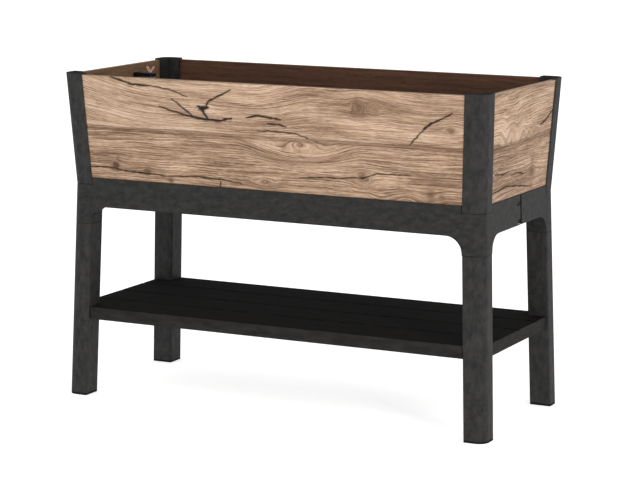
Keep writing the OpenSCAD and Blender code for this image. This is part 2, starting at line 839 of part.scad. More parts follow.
leg(FRONT_LEFT);  // leg_front_left
leg(FRONT_RIGHT);  // leg_front_right
leg(REAR_LEFT);  // leg_rear_left
leg(REAR_RIGHT);  // leg_rear_right
foot_cap(FRONT_LEFT);  // foot_cap_front_left
foot_cap(FRONT_RIGHT);  // foot_cap_front_right
foot_cap(REAR_LEFT);  // foot_cap_rear_left
foot_cap(REAR_RIGHT);  // foot_cap_rear_right
frame_half();  // frame_front_half
rotate([0, 0, 180]) frame_half();  // frame_rear_half
corner_post(FRONT_LEFT);  // corner_post_front_left
corner_post(FRONT_RIGHT);  // corner_post_front_right
corner_post(REAR_LEFT);  // corner_post_rear_left
corner_post(REAR_RIGHT);  // corner_post_rear_right
mirror([0, 1, 0]) side_wall();  // wall_front
side_wall();  // wall_rear
mirror([1, 0, 0]) end_wall();  // wall_left
end_wall();  // wall_right
water_basin();
soil_platform(-1);  // soil_platform_left
soil_platform(1);  // soil_platform_right
cross_beam(beam_xs[0]);  // cross_beam_left
cross_beam(beam_xs[1]);  // cross_beam_middle
cross_beam(beam_xs[2]);  // cross_beam_right
shelf();
drain_plug();
gauge_tube();
gauge_bracket();
gauge_float();
gauge_flag();
post_screws();
splice_screws();
beam_screws();
shelf_screws();
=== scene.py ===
"""Raised planter on legs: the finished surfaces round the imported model.

Lengths are in metres unless a name says mm. The frame's own planes and corners give every
place; the walls, the moulded parts and the screws are rebuilt on them with their real finish.
"""
import json
import math

import bmesh
import bpy
import numpy as np
from mathutils import Matrix, Vector


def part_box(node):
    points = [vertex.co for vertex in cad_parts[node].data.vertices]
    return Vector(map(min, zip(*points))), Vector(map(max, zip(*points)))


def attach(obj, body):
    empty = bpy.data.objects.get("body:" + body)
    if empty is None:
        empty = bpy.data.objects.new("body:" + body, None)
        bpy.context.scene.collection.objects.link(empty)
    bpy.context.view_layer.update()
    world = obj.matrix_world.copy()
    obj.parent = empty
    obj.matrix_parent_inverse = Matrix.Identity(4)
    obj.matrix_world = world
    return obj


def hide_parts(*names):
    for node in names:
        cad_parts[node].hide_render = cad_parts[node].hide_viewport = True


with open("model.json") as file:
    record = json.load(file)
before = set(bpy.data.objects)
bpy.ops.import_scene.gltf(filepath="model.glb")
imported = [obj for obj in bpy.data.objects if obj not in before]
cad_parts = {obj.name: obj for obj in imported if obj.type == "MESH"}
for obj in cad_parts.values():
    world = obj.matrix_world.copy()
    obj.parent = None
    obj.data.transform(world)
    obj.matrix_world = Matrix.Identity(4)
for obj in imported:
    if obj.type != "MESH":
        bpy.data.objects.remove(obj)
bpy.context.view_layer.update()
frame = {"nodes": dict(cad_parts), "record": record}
MM = 0.001

# ---------- camera and studio ----------

CAMERA_PLACE = (2.496, -5.001, 1.338)
CAMERA_AZIMUTH = 26.32
CAMERA_ELEVATION = 9.58
CAMERA_ROLL = 0.23
CAMERA_LENS_MM = 130.6
CAMERA_REACH = 200
FLOOR_SIZE = 60.0
FLOOR_GLOW = 0.68
SKY_LOW = 1.05              # strength of the studio's white at the level of the eye
SKY_HIGH = 0.42             # and overhead
SKY_HIGH_FROM = 0.9         # where overhead starts, as a height on a sphere of radius 1
FLOOR_COLOUR = (0.93, 0.93, 0.93, 1)
LIGHTS_AIM = (0, 0, 0.5)
WHITE = (1, 1, 1, 1)
WARM_WHITE = (1.0, 0.95, 0.9)


def new_object(name, data):
    made = bpy.data.objects.new(name, data)
    bpy.context.scene.collection.objects.link(made)
    return made


def point_camera():
    """Sets up the camera; azimuth runs from the front to the right, roll tips it over."""
    azimuth = math.radians(CAMERA_AZIMUTH)
    elevation = math.radians(CAMERA_ELEVATION)
    roll = math.radians(CAMERA_ROLL)
    back = Vector((math.sin(azimuth) * math.cos(elevation),
                   -math.cos(azimuth) * math.cos(elevation), math.sin(elevation)))
    right = Vector((math.cos(azimuth), math.sin(azimuth), 0))
    up = back.cross(right)
    across = right * math.cos(roll) + up * math.sin(roll)
    upward = up * math.cos(roll) - right * math.sin(roll)
    data = bpy.data.cameras.new("camera")
    data.lens = CAMERA_LENS_MM
    data.clip_end = CAMERA_REACH
    camera = new_object("camera", data)
    camera.rotation_mode = "QUATERNION"
    rotation = [[across[i], upward[i], back[i]] for i in range(3)]
    camera.matrix_world = Matrix(rotation).to_4x4()
    camera.location = CAMERA_PLACE
    bpy.context.scene.camera = camera


def soft_light(name, place, size, power, colour=WHITE[:3]):
    """A rectangular lamp of so many watts that faces the middle of the object."""
    data = bpy.data.lights.new(name, "AREA")
    data.shape = "RECTANGLE"
    data.size, data.size_y = size
    data.energy = power
    data.color = colour
    light = new_object(name, data)
    light.location = place
    aim = Vector(LIGHTS_AIM) - Vector(place)
    light.rotation_mode = "QUATERNION"
    light.rotation_quaternion = aim.to_track_quat("-Z", "Y")


def build_sky():
    """White light from all round, strongest at the level of the eye."""
    world = bpy.data.worlds.new("studio")
    world.use_nodes = True
    board = Board(world.node_tree)
    height = board.split(board.add("ShaderNodeTexCoord").outputs["Generated"])["Z"]
    sky = world.node_tree.nodes["Background"].inputs
    sky["Color"].default_value = WHITE
    board.feed(sky["Strength"], board.remap(height, 0.0, SKY_HIGH_FROM, SKY_LOW, SKY_HIGH))
    bpy.context.scene.world = world
    bpy.context.scene.view_settings.view_transform = "Standard"


def build_floor():
    half = FLOOR_SIZE / 2
    corners = [(-half, -half, 0), (half, -half, 0), (half, half, 0), (-half, half, 0)]
    mesh = bpy.data.meshes.new("floor")
    mesh.from_pydata(corners, [], [(0, 1, 2, 3)])
    floor = new_object("floor", mesh)
    paint, _, shader = new_finish("pale_floor", "Roughness", 0.9)
    shader["Base Color"].default_value = FLOOR_COLOUR
    shader["Emission Color"].default_value = WHITE
    shader["Emission Strength"].default_value = FLOOR_GLOW
    mesh.materials.append(paint)


def build_studio():
    build_sky()
    soft_light("key", place=(-2.2, -4.2, 3.6), size=(3.0, 3.0), power=34)
    soft_light("side", place=(4.4, -3.0, 2.0), size=(1.0, 3.0), power=80, colour=WARM_WHITE)
    build_floor()


# ---------- shader building ----------

def tint(red, green, blue):
    """A screen colour, 0 to 255 each, as the linear colour that a shader takes."""
    parts = []
    for value in (red, green, blue):
        value /= 255
        parts.append(value / 12.92 if value <= 0.04045 else ((value + 0.055) / 1.055) ** 2.4)
    return (*parts, 1)


class Board:
    """A node tree with short calls for the nodes that the finishes use."""

    def __init__(self, tree):
        self.tree = tree
        self.nodes = tree.nodes

    def add(self, kind, **settings):
        node = self.nodes.new(kind)
        for key, value in settings.items():
            setattr(node, key, value)
        return node

    def feed(self, socket, value):
        if isinstance(value, bpy.types.NodeSocket):
            self.tree.links.new(value, socket)
        elif value is not None:
            socket.default_value = value

    def step(self, kind, settings=None, **values):
        """A node with a value on each input of that name; gives its outputs."""
        node = self.add(kind, **(settings or {}))
        for name, value in values.items():
            self.feed(node.inputs[name.replace("_", " ").title()], value)
        return node.outputs

    def math(self, operation, first, second=None, third=None, clamp=False):
        node = self.add("ShaderNodeMath", operation=operation, use_clamp=clamp)
        for i, value in enumerate((first, second, third)):
            self.feed(node.inputs[i], value)
        return node.outputs[0]

    def remap(self, value, low, high, new_low=0.0, new_high=1.0, smooth=False):
        kind = {"interpolation_type": "SMOOTHSTEP" if smooth else "LINEAR"}
        return self.step("ShaderNodeMapRange", kind, value=value, from_min=low, from_max=high,
                         to_min=new_low, to_max=new_high)["Result"]

    def scaled(self, vector, factors):
        node = self.add("ShaderNodeVectorMath", operation="MULTIPLY")
        self.feed(node.inputs[0], vector)
        self.feed(node.inputs[1], factors)
        return node.outputs[0]

    def split(self, vector):
        return self.step("ShaderNodeSeparateXYZ", vector=vector)

    def joined(self, x=None, y=None, z=None):
        node = self.add("ShaderNodeCombineXYZ")
        for i, value in enumerate((x, y, z)):
            self.feed(node.inputs[i], value)
        return node.outputs[0]

    def total(self, *parts):
        """The sum of some values, each given with its weight."""
        (value, weight), *others = parts
        result = self.math("MULTIPLY", value, weight)
        for value, weight in others:
            result = self.math("MULTIPLY_ADD", value, weight, result)
        return result

    def noise(self, vector, scale=1.0, detail=3.0, roughness=0.55):
        return self.step("ShaderNodeTexNoise", vector=vector, scale=scale, detail=detail,
                         roughness=roughness)["Fac"]

    def mix(self, share, first, second):
        node = self.add("ShaderNodeMix", data_type="RGBA")
        self.feed(node.inputs["Factor"], share)
        colours = [s for s in node.inputs if s.type == "RGBA"]
        self.feed(colours[0], first)
        self.feed(colours[1], second)
        return next(s for s in node.outputs if s.type == "RGBA")

    def ramp(self, share, stops):
        node = self.add("ShaderNodeValToRGB")
        self.feed(node.inputs["Fac"], share)
        elements = node.color_ramp.elements
        elements[1].position, elements[1].color = stops[-1]
        elements[0].position, elements[0].color = stops[0]
        for place, colour in stops[1:-1]:
            elements.new(place).color = colour
        return node.outputs["Color"]

    def attribute(self, name):
        return self.add("ShaderNodeAttribute", attribute_name=name).outputs["Fac"]

    def uv(self, name):
        return self.add("ShaderNodeUVMap", uv_map=name).outputs["UV"]

    def object_place(self):
        return self.add("ShaderNodeTexCoord").outputs["Object"]

    def bump(self, height, distance):
        return self.step("ShaderNodeBump", height=height, distance=distance,
                         strength=1.0)["Normal"]

    def group(self, group, **values):
        return self.step("ShaderNodeGroup", {"node_tree": group}, **values)


NUMBER = "NodeSocketFloat"
VECTOR = "NodeSocketVector"


def new_group(name, inputs, outputs):
    """An empty shader group with named sockets; each is (name, kind, value) or (name, kind)."""
    tree = bpy.data.node_groups.new(name, "ShaderNodeTree")
    for socket_name, kind, *value in inputs:
        socket = tree.interface.new_socket(socket_name, in_out="INPUT", socket_type=kind)
        if value:
            socket.default_value = value[0]
    for socket_name, kind in outputs:
        tree.interface.new_socket(socket_name, in_out="OUTPUT", socket_type=kind)
    board = Board(tree)
    entry = board.add("NodeGroupInput")
    way_out = board.add("NodeGroupOutput")
    return board, entry.outputs, way_out.inputs


def new_finish(name, constant, value):
    """A material with a Principled shader, one of whose own sockets is given a constant."""
    material = bpy.data.materials.new(name)
    material.use_nodes = True
    shader = material.node_tree.nodes["Principled BSDF"]
    shader.inputs[constant].default_value = value
    return material, Board(material.node_tree), shader.inputs


def build_grain_group():
    """Wood fibre along X and rings across Y of a map in metres: tone, pores and height."""
    board, given, result = new_group(
        "plank_grain",
        [("Grain Map", VECTOR), ("Streak Scale", NUMBER, 150.0), ("Ring Scale", NUMBER, 95.0)],
        [("Tone", NUMBER), ("Pores", NUMBER), ("Height", NUMBER)])
    grain_map = given["Grain Map"]

    def figure(along, across, **settings):
        """Noise with so many cells to the metre along the grain and across it."""
        return board.noise(board.scaled(grain_map, (along, across, 1)), **settings)

    broad = figure(2.4, 17, detail=2)
    streak_factors = board.joined(7.0, given["Streak Scale"])
    streaks = board.noise(board.scaled(grain_map, streak_factors), detail=4, roughness=0.62)
    fibre = figure(45, 520, detail=4, roughness=0.7)
    phase = board.math("MULTIPLY", board.split(grain_map)["Y"], given["Ring Scale"])
    wander = board.math("MULTIPLY", figure(9, 40), 1.9)
    ring = board.math("FRACT", board.math("ADD", phase, wander))
    ring_line = board.remap(ring, 0.6, 1.0, smooth=True)
    ring_share = board.remap(figure(11, 110, detail=3), 0.42, 0.6)
    lines = board.math("MULTIPLY", ring_line, ring_share)
    pores = board.remap(figure(55, 1500, detail=1, roughness=0.5), 0.60, 0.72, smooth=True)
    tone = board.total((streaks, 0.42), (broad, 0.24), (fibre, 0.34), (lines, -0.17))
    height = board.total((streaks, 0.5), (fibre, 0.3), (pores, -0.35))
    board.feed(result["Tone"], tone)
    board.feed(result["Pores"], pores)
    board.feed(result["Height"], height)
    return board.tree


def build_mottle_group():
    """Moulded resin: cloudy mottling, fine speckle and a leather-like height."""
    board, given, result = new_group(
        "resin_mottle",
        [("Place", VECTOR), ("Cloud Scale", NUMBER, 45.0), ("Texture Scale", NUMBER, 420.0)],
        [("Mottle", NUMBER), ("Speckle", NUMBER), ("Height", NUMBER)])
    clouds = board.noise(given["Place"], given["Cloud Scale"], detail=5, roughness=0.65)
    fine = board.noise(given["Place"], given["Texture Scale"], detail=3, roughness=0.6)
    board.feed(result["Mottle"], board.remap(clouds, 0.3, 0.7))
    board.feed(result["Speckle"], board.remap(fine, 0.45, 0.75, smooth=True))
    board.feed(result["Height"], board.math("ADD", board.math("MULTIPLY", clouds, 0.4), fine))
    return board.tree


def build_edge_wear_and_shade_group():
    """Rounded edges in a tone of their own: rubbed, smoother resin on most finishes, and painted
    shade along the seams and grooves on the dark ones; gives its share.
    """
    board, given, result = new_group(
        "rubbed_and_shaded_edges",
        [("Edge", NUMBER), ("Place", VECTOR), ("Amount", NUMBER, 0.5)],
        [("Wear And Shade", NUMBER)])
    patches = board.noise(given["Place"], 28.0, detail=4, roughness=0.7)
    patches = board.remap(patches, 0.35, 0.65, smooth=True)
    edge_wear_and_shade = board.math("MULTIPLY", board.math("MULTIPLY", given["Edge"], patches),
                      given["Amount"])
    board.feed(result["Wear And Shade"], edge_wear_and_shade)
    return board.tree


def build_dust_and_top_shade_group():
    """The share of a face looking up that takes the top tone, from patchy to even: dust on most
    finishes, painted shade on the dark ones.
    """
    board, given, result = new_group(
        "dust_and_top_shade",
        [("Facing", VECTOR), ("Place", VECTOR), ("Amount", NUMBER, 0.2),
         ("Evenness", NUMBER, 0.0)],
        [("Dust And Shade", NUMBER)])
    upward = board.remap(board.split(given["Facing"])["Z"], 0.5, 1.0, smooth=True)
    cover = board.remap(board.noise(given["Place"], 9.0, detail=6, roughness=0.7), 0.35, 0.8)
    cover = board.math("ADD", cover, given["Evenness"], clamp=True)
    board.feed(result["Dust And Shade"], board.math("MULTIPLY", board.math("MULTIPLY", upward, cover),
                                          given["Amount"]))
    return board.tree


SPECK_SHARE = 0.25
SPECK_LIGHTER = 1.35        # the speckle against the resin's light tone
RUBBED_LIGHTER = 1.9        # and a rubbed edge, where a finish gives no tone for it
PORE_SHARE = 0.7
PORE_ROUGHER = 0.15         # how much rougher a pore is than the plank
PLANK_ROUGHNESS = 0.66
PLANK_SHINE = 0.3
MARK_AND_SHADE_BROWN = (92, 64, 43)


def lightened(colour, factor):
    return [min(255, value * factor) for value in colour]


def build_finishes():
    """Every material, by the name that the pieces ask for."""
    grain = build_grain_group()
    mottle = build_mottle_group()
    edge_wear_and_shade = build_edge_wear_and_shade_group()
    dust_and_shade_group = build_dust_and_top_shade_group()
    finishes = {}

    def resin(name, dark, light, stretch=(1, 1, 1), edge=0.5, dust_and_shade_amount=0.08, roughness=0.56,
              texture=420.0, relief=0.12, shine=0.08, dust_and_shade_colour=(150, 142, 130),
              evenness=0.0, edge_wear_and_shade_colour=None):
        """A moulded resin; its colours are 0 to 255 and its relief is in millimetres."""
        material, board, shader = new_finish(name, "Specular IOR Level", shine)
        place = board.object_place()
        texture_place = board.scaled(place, stretch)
        cloud = board.group(mottle, place=texture_place, texture_scale=texture)
        edge_wear_and_shade_share = board.group(edge_wear_and_shade, edge=board.attribute("edge"), place=place,
                           amount=edge)["Wear And Shade"]
        facing = board.add("ShaderNodeNewGeometry").outputs["Normal"]
        dust_and_shade_share = board.group(dust_and_shade_group, facing=facing, place=place, amount=dust_and_shade_amount,
                            evenness=evenness)["Dust And Shade"]
        colour = board.mix(cloud["Mottle"], tint(*dark), tint(*light))
        speck = board.math("MULTIPLY", cloud["Speckle"], SPECK_SHARE)
        colour = board.mix(speck, colour, tint(*lightened(light, SPECK_LIGHTER)))
        edge_wear_and_shade_colour = edge_wear_and_shade_colour or lightened(light, RUBBED_LIGHTER)
        # Dark finishes give their rounded edges painted shade, so the seams and grooves show
        # dark; the others rub them lighter.
        colour = board.mix(edge_wear_and_shade_share, colour, tint(*edge_wear_and_shade_colour))
        # Dark finishes paint shade on the faces that look up; the others give them dust.
        colour = board.mix(dust_and_shade_share, colour, tint(*dust_and_shade_colour))
        board.feed(shader["Base Color"], colour)
        rough = board.math("MULTIPLY_ADD", cloud["Speckle"], 0.12, roughness)
        rough = board.math("SUBTRACT", rough, board.math("MULTIPLY", edge_wear_and_shade_share, 0.15))
        rough = board.math("ADD", rough, board.math("MULTIPLY", dust_and_shade_share, 0.4), clamp=True)
        board.feed(shader["Roughness"], rough)
        board.feed(shader["Normal"], board.bump(cloud["Height"], relief * MM))
        finishes[name] = material

    # The charcoal's top tone is painted shade on the tops of posts and rails, and its edge tone
    # is painted shade along the seams.
    charcoal = {"edge": 0.7, "edge_wear_and_shade_colour": (16, 16, 16), "dust_and_shade_amount": 0.9, "dust_and_shade_colour": (12, 12, 12),
                "evenness": 0.8}
    resin("charcoal_upright", (32, 32, 33), (56, 55, 54), stretch=(1.6, 1.6, 0.9), **charcoal)
    resin("charcoal_lengthwise", (31, 31, 32), (53, 52, 51), stretch=(0.9, 1.6, 1.6),
          **charcoal)
    # The shelf's top tone is painted shade on its top under the planter, and its edge tone is
    # painted shade in its grooves and along its rims.
    resin("shelf_black", (27, 26, 26), (46, 45, 44), stretch=(0.5, 1.6, 1.6), dust_and_shade_amount=0.95,
          edge=1.6, roughness=0.7, shine=0.06, dust_and_shade_colour=(24, 22, 21), evenness=0.85,
          edge_wear_and_shade_colour=(4, 4, 4))
    resin("basin_black", (24, 24, 25), (36, 36, 38), dust_and_shade_amount=0.12)
    resin("platform_grey", (38, 38, 40), (52, 52, 55), dust_and_shade_amount=0.12)
    resin("foot_rubber", (17, 17, 17), (28, 28, 28), edge=0.15, roughness=0.75,
          texture=700.0)
    resin("plug_rubber", (20, 20, 21), (32, 32, 33), edge=0.15, roughness=0.7, texture=800.0)
    resin("gauge_black", (20, 20, 22), (31, 31, 33), edge=0.4, roughness=0.45)
    resin("gauge_grey", (118, 121, 122), (140, 143, 144), edge=0.1, roughness=0.4,
          texture=900.0, relief=0.03)
    resin("float_white", (196, 190, 176), (220, 215, 203), edge=0.0, roughness=0.6,
          texture=260.0, relief=0.2)
    resin("flag_pink", (196, 150, 138), (216, 172, 158), edge=0.1, roughness=0.45,
          relief=0.03)

    def timber(name, stops, pore, crack, streak_scale, ring_scale, relief):
        """Wood whose colour runs through stops, from its darkest tone to its lightest."""
        material, board, shader = new_finish(name, "Specular IOR Level", PLANK_SHINE)
        fibre = board.group(grain, grain_map=board.uv("grain"), streak_scale=streak_scale,
                            ring_scale=ring_scale)
        tone = board.math("ADD", fibre["Tone"], board.attribute("tone"))
        colour = board.ramp(tone, [(place, tint(*part)) for place, part in stops])
        pore_share = board.math("MULTIPLY", fibre["Pores"], PORE_SHARE)
        colour = board.mix(pore_share, colour, tint(*pore))
        # These marks are knots, stains, browned checks and the planks' joint, with painted shade
        # along the panel's lower edge.
        colour = board.mix(board.attribute("marks_and_shade"), colour, tint(*MARK_AND_SHADE_BROWN))
        colour = board.mix(board.attribute("crack"), colour, tint(*crack))
        board.feed(shader["Base Color"], colour)
        board.feed(shader["Roughness"],
                   board.math("MULTIPLY_ADD", fibre["Pores"], PORE_ROUGHER, PLANK_ROUGHNESS))
        board.feed(shader["Normal"], board.bump(fibre["Height"], relief * MM))
        finishes[name] = material

    timber("oak_face",
           [(0.33, (82, 59, 43)), (0.42, (131, 103, 81)), (0.50, (173, 144, 119)),
            (0.60, (207, 181, 156))],
           pore=(108, 80, 58), crack=(16, 9, 6), streak_scale=190.0, ring_scale=190.0,
           relief=0.35)
    timber("oak_back",
           [(0.28, (56, 34, 22)), (0.50, (84, 54, 36)), (0.66, (104, 71, 48))],
           pore=(48, 29, 22), crack=(20, 12, 8), streak_scale=120.0, ring_scale=70.0,
           relief=0.25)
    # A lighter copy of the back for the side walls: painted light on their inner faces.
    timber("oak_back_lit",
           [(0.28, (84, 62, 44)), (0.50, (122, 93, 67)), (0.66, (148, 118, 88))],
           pore=(74, 54, 38), crack=(20, 12, 8), streak_scale=90.0, ring_scale=60.0,
           relief=0.25)

    material, board, shader = new_finish("zinc_steel", "Metallic", 1.0)
    place = board.object_place()
    cloud = board.group(mottle, place=place, cloud_scale=260.0, texture_scale=2600.0)
    board.feed(shader["Base Color"], board.mix(cloud["Mottle"], tint(150, 152, 155),
                                               tint(196, 198, 200)))
    board.feed(shader["Roughness"], board.math("MULTIPLY_ADD", cloud["Speckle"], 0.2, 0.28))
    board.feed(shader["Normal"], board.bump(cloud["Height"], 0.01 * MM))
    finishes["zinc_steel"] = material
    return finishes


# ---------- pieces ----------

def place_piece(name, mesh, body, nodes, finishes_used):
    """Makes a finished piece of a mesh: its materials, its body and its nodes."""
    for finish in finishes_used:
        mesh.materials.append(FINISHES[finish])
    piece = new_object(name, mesh)
    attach(piece, body)
    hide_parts(*nodes)


SHARP_EDGE = math.radians(32)
FLAT_EDGE = math.radians(0.3)
MERGE_DISTANCE = 0.02 * MM
ROUNDING_TRIES = 7
ROUNDING_SEGMENTS = 2
NEAR_A_FOLD = 1.6           # how many roundings away an edge still counts as near a fold
SHORT_EDGE = 4              # how many roundings long an edge still counts as short
CORNER_DIGITS = 4           # corners are told apart to 0.1 mm
NOTHING = 1e-9              # twice the area of a triangle too thin to count, in square metres


def cleaned_form(node):
    """A CAD node's mesh with its seams joined and its flat faces whole."""
    form = bmesh.new()
    form.from_mesh(frame["nodes"][node].data)
    form.faces.layers.float.new("edge")
    form.faces.layers.float_vector.new("flat")
    bmesh.ops.remove_doubles(form, verts=form.verts, dist=MERGE_DISTANCE)
    bmesh.ops.dissolve_limit(form, angle_limit=FLAT_EDGE, verts=form.verts, edges=form.edges)
    flat = form.faces.layers.float_vector["flat"]
    for face in form.faces:
        face[flat] = face.normal
    form.edges.index_update()
    return form


def folded_corners(form, strips):
    """Corners of the triangles that lie upside down after a rounding."""
    flat = form.faces.layers.float_vector["flat"]
    form.normal_update()
    corners = set()
    for loops in form.calc_loop_triangles():
        face = loops[0].face
        a, b, c = (loop.vert.co for loop in loops)
        facing = face.normal if face in strips else face[flat]
        if (b - a).cross(c - a).dot(facing) < -NOTHING:
            corners.update(tuple(round(v, CORNER_DIGITS) for v in corner) for corner in (a, b, c))
    return np.array(sorted(corners)).reshape(-1, 3)


def edges_near(ends, corners, reach):
    """Which of the edges, each given by its two ends, come within reach of a corner."""
    start, along = ends[:, 0], ends[:, 1] - ends[:, 0]
    length_squared = np.maximum((along ** 2).sum(axis=1), NOTHING ** 2)
    near = np.zeros(len(ends), bool)
    for corner in corners:
        share = np.clip(((corner - start) * along).sum(axis=1) / length_squared, 0, 1)
        apart = corner - start - along * share[:, None]
        near |= (apart ** 2).sum(axis=1) < reach ** 2
    return near


def rounded_copy(node, round_mm):
    """A copy of a CAD node with its sharp edges rounded; the rounding carries edge = 1.

    Where a rounding would fold the faces beside it, the short edges there stay square, and
    on a later try the long ones too.
    """
    cleaned = cleaned_form(node)
    rounding = round_mm * MM
    square = set()
    for attempt in range(ROUNDING_TRIES):
        form = cleaned.copy()
        form.edges.index_update()
        sharp = [e for e in form.edges if e.index not in square and len(e.link_faces) == 2
                 and e.calc_face_angle(0) > SHARP_EDGE]
        if not sharp:
            break
        numbers = np.array([e.index for e in sharp])
        ends = np.array([[v.co[:] for v in e.verts] for e in sharp])
        made = bmesh.ops.bevel(form, geom=sharp, offset=rounding, offset_type="OFFSET",
                               segments=ROUNDING_SEGMENTS, profile=0.5, affect="EDGES",
                               clamp_overlap=False)
        strips = set(made["faces"])
        edge_layer = form.faces.layers.float["edge"]
        for face in strips:
            face[edge_layer] = 1.0
        corners = folded_corners(form, strips)
        if not len(corners) or attempt == ROUNDING_TRIES - 1:
            break
        lengths = np.linalg.norm(ends[:, 1] - ends[:, 0], axis=1)
        bad = edges_near(ends, corners, rounding * NEAR_A_FOLD)
        short = bad & (lengths < rounding * SHORT_EDGE)
        chosen = short if attempt % 2 == 0 and short.any() else bad
        square.update(int(n) for n in numbers[chosen])
        form.free()
    cleaned.free()
    for face in form.faces:
        face.smooth = True
    mesh = bpy.data.meshes.new(node)
    form.to_mesh(mesh)
    form.free()
    mesh.set_sharp_from_angle(angle=SHARP_EDGE)
    return weighted(mesh)


def weighted(mesh):
    """The mesh with its normals weighted by face area, so that flat faces stay flat."""
    holder = new_object("holder", mesh)
    modifier = holder.modifiers.new("normals", "WEIGHTED_NORMAL")
    modifier.keep_sharp = True
    ready = evaluated_mesh(holder)
    bpy.data.objects.remove(holder)
    return ready


def evaluated_mesh(holder):
    """What an object's modifiers make of its mesh, as a mesh of its own."""
    bpy.context.view_layer.update()
    graph = bpy.context.evaluated_depsgraph_get()
    return bpy.data.meshes.new_from_object(holder.evaluated_get(graph), depsgraph=graph)


# how a node's name starts: (finish, slot, rounding in mm)
MOULDED = {
    "leg": ("charcoal_upright", "frame_resin", 1.2),
    "corner_post": ("charcoal_upright", "frame_resin", 1.2),
    "frame": ("charcoal_lengthwise", "frame_resin", 0.9),
    "foot_cap": ("foot_rubber", "foot_rubber", 0.9),
    "water_basin": ("basin_black", "basin_resin", 0.8),
    "soil_platform": ("platform_grey", "platform_resin", 0.6),
    "cross_beam": ("charcoal_lengthwise", "frame_resin", 0.8),
    "shelf": ("shelf_black", "shelf_resin", 0.9),
    "drain_plug": ("plug_rubber", "plug_rubber", 0.8),
    "gauge_tube": ("gauge_grey", "gauge_grey", 0.5),
    "gauge_bracket": ("gauge_black", "gauge_black", 0.7),
    "gauge_float": ("float_white", "float_white", 0.6),
    "gauge_flag": ("flag_pink", "flag_pink", 0.25),
}
BODY_OF = {node: body for body, nodes in frame["record"]["behaviour"]["bodies"].items()
           for node in nodes}


def make_moulded_parts():
    for node in sorted(frame["nodes"]):
        kind = next((k for k in MOULDED if node.startswith(k) and "screws" not in node), None)
        if kind is None:
            continue
        finish, slot, round_mm = MOULDED[kind]
        mesh = rounded_copy(node, round_mm)
        place_piece(f"{node}_finished", mesh, BODY_OF[node], [node], [finish])


# ---------- walls ----------

GRAIN_STEP_ALONG = 2.5 * MM
GRAIN_STEP_ACROSS = 1.25 * MM
BACK_SHARE = 8              # the back's grid is this much coarser than the face's
GROOVE_HALF = 2.5 * MM      # half height of the mouth of the groove between the planks
GROOVE_DEPTH = 2.5 * MM
GRAIN_DEPTH = 0.28 * MM
CHECK_DEPTH = 2.2 * MM
KNOT_DEPTH = 0.25 * MM
SWIRL_HOLD = 0.8            # how far a swirl overrides the grain round it
CHECK_BROWNING_MM = 2.4     # how much further than its gap a check browns the wood
DARKEST_MARK = 0.96
PLANK_SHIFT = 900           # sets the two planks' grain apart, in mm
WALL_SHIFT = (370, 130)     # and the walls' grain, along it and across it
BACK_START = 5000           # and the backs' grain from the faces'
BACK_SHIFT = (400, 60)
DARKENING = 1.6             # how much stronger the knots and stains are than their numbers

# All in millimetres on the face: s runs to the right as seen from outside, from the middle;
# t runs up from the panel's lower edge. A check is (half width, [(s, t), ...]). A knot is
# (s, t, radius, stretch along the grain, darkness, hole). A swirl is (s, t, inner radius,
# outer radius, stretch along the grain). A stain is (s, t, size along, size across, strength).
# A bend lifts the upper plank's grain: (middle s, half its length, rise from left to right).
FRONT = {
    "checks": [
        (2.6, [(-420, 251), (-360, 236), (-312, 235)]),
        (1.3, [(-312, 235), (-265, 229), (-210, 214)]),
        (2.4, [(-290, 186), (-240, 174), (-200, 165)]),
        (3.4, [(-215, 169), (-162, 161), (-125, 161), (-95, 167)]),
        (2.0, [(-256, 207), (-235, 193), (-213, 178), (-198, 166)]),
        (5.0, [(-186, 192), (-174, 188), (-158, 191)]),
        (3.6, [(-175, 190), (-167, 174), (-158, 163)]),
        (2.2, [(-162, 194), (-151, 208), (-122, 222), (-95, 236)]),
        (2.5, [(-56, 172), (-24, 178), (3, 175), (36, 172)]),
        (2.4, [(0, 161), (30, 160), (50, 155)]),
        (1.2, [(-34, 142), (20, 143), (74, 141), (106, 130)]),
        (1.6, [(362, 131), (383, 153), (400, 172)]),
        (3.8, [(395, 168), (419, 184), (448, 198)]),
        (1.4, [(440, 194), (470, 212)]),
        (1.8, [(-490, 27), (-447, 30), (-408, 24), (-326, 20), (-279, 17)]),
        (1.5, [(-279, 17), (-203, 22), (-133, 19), (-73, 12)]),
        (2.2, [(-132, 14), (-134, -2)]),
        (1.2, [(80, 38), (160, 42), (241, 47), (278, 60), (363, 61)]),
    ],
    "knots": [
        (-173, 187, 6, 1.6, 0.4, 1.0),
        (236, 211, 15, 1.0, 0.6, 0.0),
        (272, 213, 11, 1.2, 0.42, 0.0),
        (465, 170, 9, 1.3, 0.55, 0.0),
        (-419, 34, 9, 1.3, 0.8, 0.3),
        (-331, 25, 6, 1.2, 0.6, 0.0),
        (242, 49, 11, 1.6, 0.6, 0.0),
    ],
    "swirls": [
        (85, 116, 4, 66, 2.6),
        (-12, 22, 3, 24, 2.2),
        (350, -6, 4, 64, 1.8),
    ],
    "stains": [
        (-450, 58, 40, 8, 0.35), (-267, 5, 8, 10, 0.7), (425, 52, 45, 7, 0.5),
        (411, 18, 14, 14, 0.7), (441, 17, 12, 12, 0.5), (468, 44, 22, 6, 0.55),
        (330, 205, 50, 14, 0.28), (412, 232, 50, 12, 0.25), (110, 185, 60, 22, 0.12),
        (-300, 160, 60, 16, 0.1), (262, 214, 60, 22, 0.3), (440, 172, 44, 12, 0.35),
        (-430, 40, 26, 10, 0.5), (-412, 46, 8, 16, 0.5),
    ],
    "bends": [(-440, 170, -78), (40, 85, 36), (340, 90, -24)],
}
